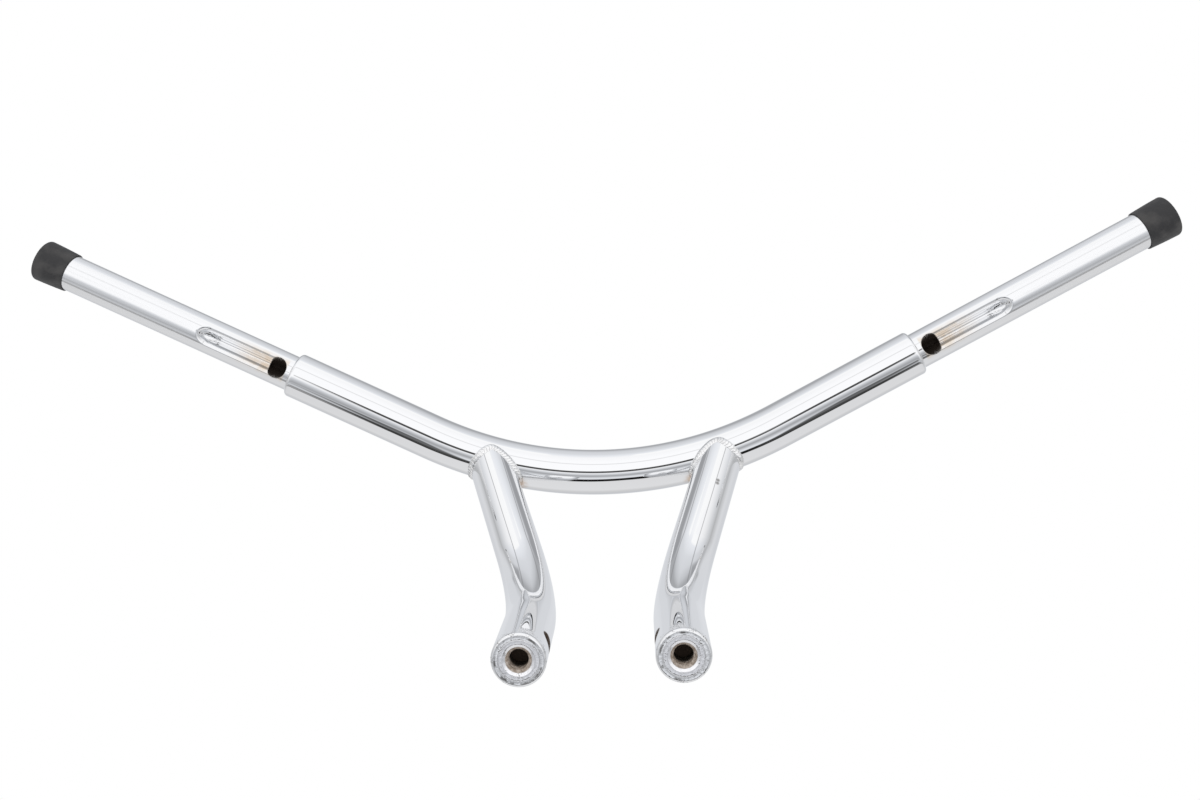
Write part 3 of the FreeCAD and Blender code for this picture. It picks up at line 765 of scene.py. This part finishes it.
def make_bands(tree, turn):
    """Pale bands with dark gaps. Each stop is an angle round the bar's length in degrees, and a level."""
    stops = [
        *((-180, 0.72), (-172, 0.60), (-164, 0.42), (-152, 0.42), (-142, 0.60), (-129, 0.72), (-112, 0.76)),
        *((-97, 0.90), (-86, 1.02), (-60, 1.07), (-52, 1.07), (-49, 0.74), (-46, 1.07), (-6, 1.07)),
        *((3, 0.72), (11, 0.38), (22, 0.85), (26.5, 0.80), (27.5, 0.01), (38, 0.01), (39, 0.77)),
        *((94, 0.79), (111, 0.66), (137, 0.60), (150, 0.68), (165, 0.76), (180, 0.72)),
    ]
    bands = node(tree, "ShaderNodeValToRGB", None, Fac=turn)
    ramp = bands.color_ramp
    for _ in range(len(stops) - 2):
        ramp.elements.new(0.5)
    for element, (degrees, level) in zip(ramp.elements, stops):
        element.position = degrees / 360.0 + 0.5
        cool = 0.0 if -97 < degrees < 3 or 27 < degrees < 137 else 0.02
        element.color = (level * (1 - cool), level, level * (1.01 + 1.5 * cool), 1.0)
    return bands.outputs["Color"]


def make_panels(tree):
    """The room that the chrome mirrors: bands of the angle round the bar, with patches laid over them.

    The angle is 0 straight down and grows towards the front. The bands slide with the sideways lean of
    the direction. The patches are bounded by that lean, the angle or the height of the direction.
    """
    direction = node(tree, "ShaderNodeTexCoord").outputs["Generated"]
    part = node(tree, "ShaderNodeSeparateXYZ", None, i0=direction).outputs
    angle = sum_up(tree, "ARCTAN2", part[1], product(tree, part[2], -1.0))
    across = sum_up(tree, "ABSOLUTE", part[0])
    swing = sum_up(tree, "ARCTAN2", across, product(tree, part[1], -1.0))
    behind = spread(tree, part[1], -0.3, -0.5)
    front = product(tree, spread(tree, angle, 0.0, 0.4), 0.07)
    rear = product(tree, spread(tree, angle, -1.75, -2.2), 0.125)
    shift = product(tree, sum_up(tree, "ADD", front, rear), across)
    turn = sum_up(tree, "SUBTRACT", sum_up(tree, "MULTIPLY_ADD", angle, 0.5 / math.pi, 0.5), shift)
    panels = make_bands(tree, turn)
    # The dark gap widens towards the ends of the centre tube.
    wedge = product(
        tree,
        spread(tree, turn, 0.540, 0.548),
        spread(tree, turn, 0.602, 0.595),
        spread(tree, across, 0.23, 0.29),
        spread(tree, across, 0.46, 0.36, 0.25, 0.9),
    )
    panels = blend_colour(tree, wedge, panels, (0.06, 0.06, 0.06, 1.0))
    # It is paler where the grip tubes mirror it.
    arm = product(
        tree,
        spread(tree, turn, 0.571, 0.578),
        spread(tree, turn, 0.606, 0.602),
        spread(tree, across, 0.44, 0.54, 0.0, 0.55),
    )
    panels = blend_colour(tree, arm, panels, (0.62, 0.62, 0.63, 1.0))
    # A thin dark line towards the camera.
    gap = sum_up(tree, "ABSOLUTE", sum_up(tree, "ADD", angle, math.radians(8.6)))
    gap = product(tree, spread(tree, gap, 0.085, 0.065), spread(tree, across, 0.16, 0.05))
    panels = blend_colour(tree, gap, panels, (0.08, 0.08, 0.08, 1.0))
    # A white sheet behind the bar, with a grey line at its edge.
    sheet = product(
        tree,
        spread(tree, swing, 0.09, 0.11),
        spread(tree, swing, 0.50, 0.48),
        spread(tree, part[2], -0.082, -0.074),
        spread(tree, part[2], 0.12, 0.06),
        behind,
    )
    panels = blend_colour(tree, sheet, panels, (1.05, 1.05, 1.05, 1.0))
    seam = sum_up(tree, "ABSOLUTE", sum_up(tree, "SUBTRACT", swing, 0.50))
    seam = product(tree, spread(tree, seam, 0.035, 0.020), behind, 0.6)
    panels = blend_colour(tree, seam, panels, (0.25, 0.25, 0.26, 1.0))
    # A darker corner that the inner edges of the risers mirror.
    corner = product(
        tree,
        spread(tree, across, 0.44, 0.50),
        spread(tree, across, 0.74, 0.66),
        spread(tree, angle, -2.0, -2.15),
        spread(tree, angle, -2.65, -2.5),
        0.7,
    )
    panels = blend_colour(tree, corner, panels, (0.28, 0.285, 0.30, 1.0))
    upward = spread(tree, part[2], 0.2, 0.5)
    flank = blend_colour(tree, upward, (0.52, 0.525, 0.53, 1.0), (0.76, 0.765, 0.78, 1.0))
    return blend_colour(tree, sum_up(tree, "POWER", across, 4.0), panels, flank)


def make_surroundings():
    """A white studio: plain white to the camera, pale grey as light, and panels in what the chrome mirrors."""
    world = bpy.data.worlds.new("studio")
    bpy.context.scene.world = world
    world.use_nodes = True
    tree = world.node_tree
    tree.nodes.clear()
    light = tree.nodes.new("ShaderNodeLightPath")
    seen = blend_colour(tree, light.outputs["Is Glossy Ray"], (0.92, 0.92, 0.92, 1.0), make_panels(tree))
    seen = blend_colour(tree, light.outputs["Is Camera Ray"], seen, (1.0, 1.0, 1.0, 1.0))
    background = node(tree, "ShaderNodeBackground", None, Color=seen, Strength=1.0)
    node(tree, "ShaderNodeOutputWorld", None, Surface=background.outputs[0])
    bpy.context.scene.view_settings.view_transform = "Standard"


def make_lamp():
    """One soft panel above the bar."""
    lamp = bpy.data.lights.new("panel", "AREA")
    lamp.shape = "RECTANGLE"
    lamp.size = 1.2
    lamp.size_y = 0.8
    lamp.energy = 2.2
    made = bpy.data.objects.new("panel", lamp)
    made.visible_glossy = False
    made.location = (-0.3, -0.5, 1.4)
    made.rotation_mode = "QUATERNION"
    made.rotation_quaternion = (Vector((0.0, -0.1, 0.1)) - made.location).to_track_quat("-Z", "Y")
    bpy.context.scene.collection.objects.link(made)


def make_camera():
    """The photograph's camera: roll after pitch after yaw, with a lens given for an image 1200 wide."""
    focal = 1128.92
    shift = np.array([0.000523, 0.13833, 0.60428])
    pitch, yaw, roll = 0.1013, 0.0346, -0.0382
    cos, sin = np.cos([pitch, yaw, roll]), np.sin([pitch, yaw, roll])
    about_x = np.array([[1, 0, 0], [0, cos[0], -sin[0]], [0, sin[0], cos[0]]])
    about_y = np.array([[cos[1], 0, sin[1]], [0, 1, 0], [-sin[1], 0, cos[1]]])
    about_z = np.array([[cos[2], -sin[2], 0], [sin[2], cos[2], 0], [0, 0, 1]])
    turn = about_z @ about_x @ about_y
    place = -turn.T @ shift
    data = bpy.data.cameras.new("camera")
    data.sensor_width = 36.0
    data.lens = focal * 36.0 / 1200.0
    data.clip_start = 0.01
    camera = bpy.data.objects.new("camera", data)
    axes = np.eye(4)
    axes[:3, 0], axes[:3, 1], axes[:3, 2], axes[:3, 3] = turn[0], -turn[1], -turn[2], place
    camera.matrix_world = Matrix(axes.tolist())
    bpy.context.scene.collection.objects.link(camera)
    bpy.context.scene.camera = camera


make_bar()
make_floor()
make_surroundings()
make_lamp()
make_camera()
